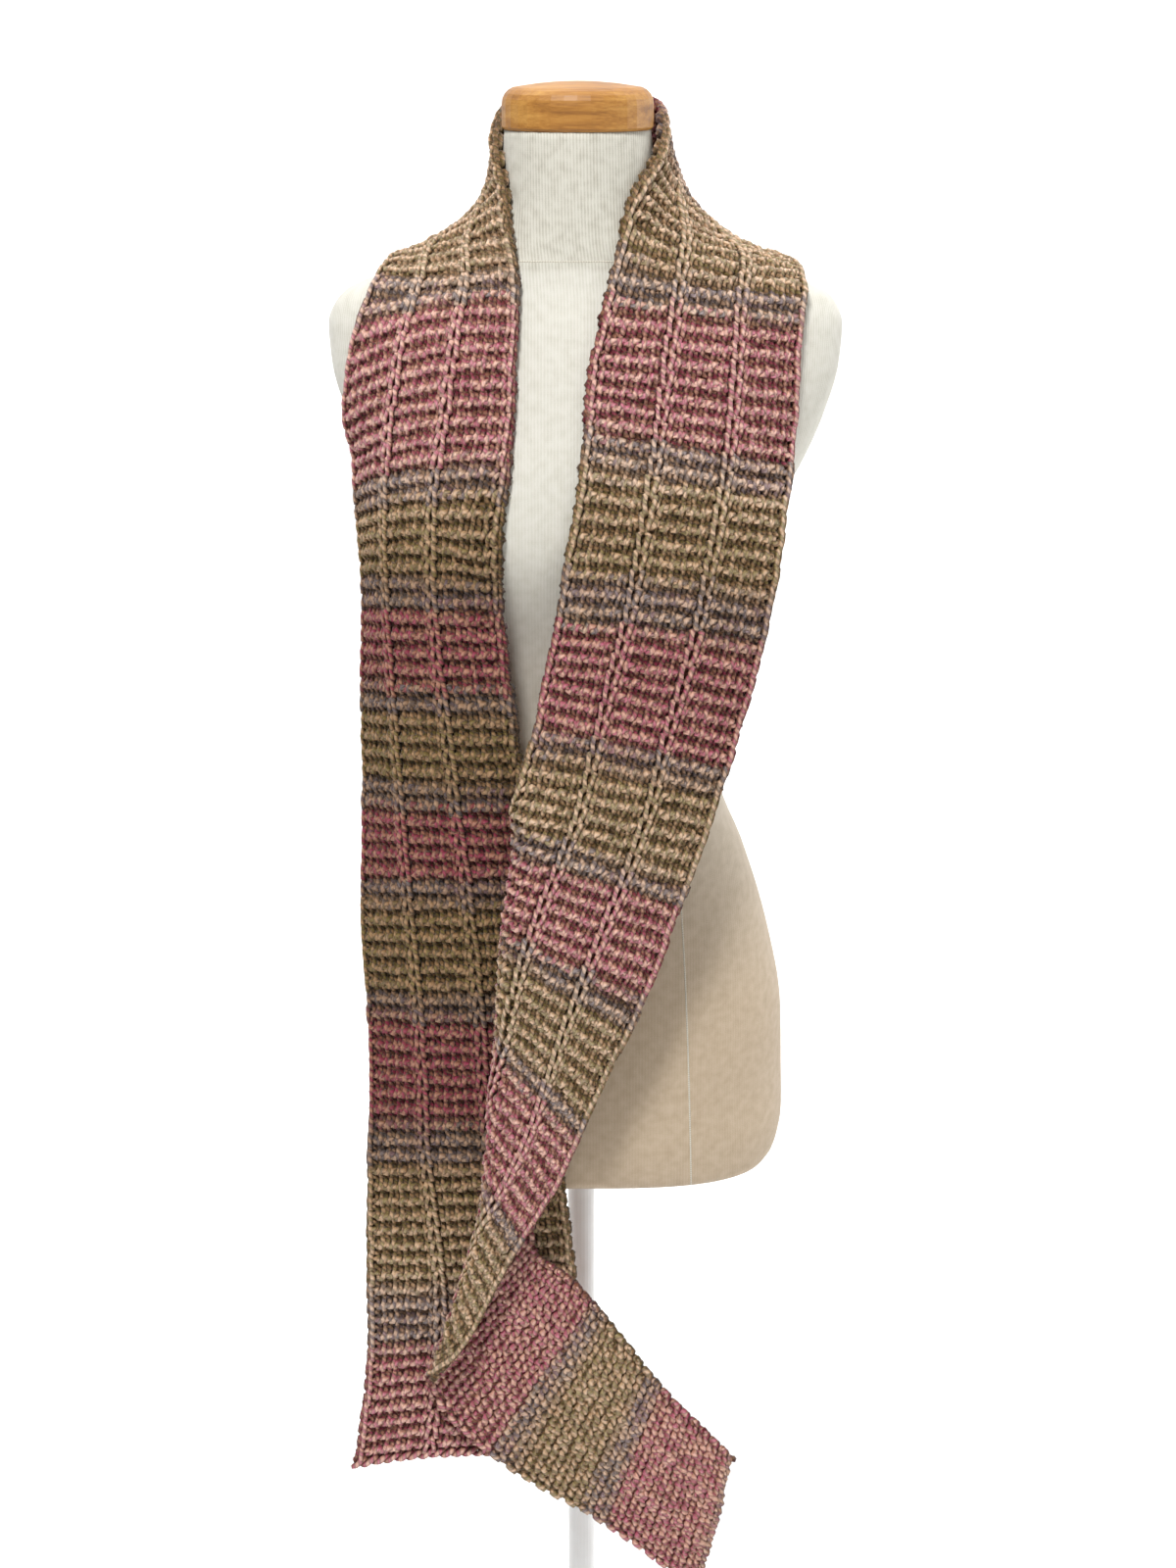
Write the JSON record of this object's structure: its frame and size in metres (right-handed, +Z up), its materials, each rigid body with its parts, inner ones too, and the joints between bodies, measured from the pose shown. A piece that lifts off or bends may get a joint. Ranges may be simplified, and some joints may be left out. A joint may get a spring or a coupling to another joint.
{
  "type": "knit scarf on a limbless dress form",
  "caption": "Hand-knit striped scarf in garter stitch with slipped-stitch columns, hung round the neck of a limbless dress form on a post and round base.",
  "frame": {"origin": "on the floor under the post, the centre of the round base", "axes": "+Z up, +X to the right of someone who looks at the front of the form, -Y the way the front of the form faces"},
  "size_m": [0.43, 0.43, 1.5343],
  "materials": {
    "scarf_yarn": "fuzzy two-ply marled wool, camel with rose, slate and olive",
    "form_jersey": "cream cotton jersey, fine vertical ribs",
    "cap_wood": "honey beech, satin varnish",
    "stand_enamel": "white enamel, satin"
  },
  "bodies": {
    "root": {"scarf_left_front": "scarf_yarn", "scarf_neck": "scarf_yarn", "scarf_right_front": "scarf_yarn", "scarf_right_tail": "scarf_yarn", "form_torso": "form_jersey", "neck_cap": "cap_wood", "stand_post": "stand_enamel", "stand_base": "stand_enamel"}
  },
  "joints": []
}
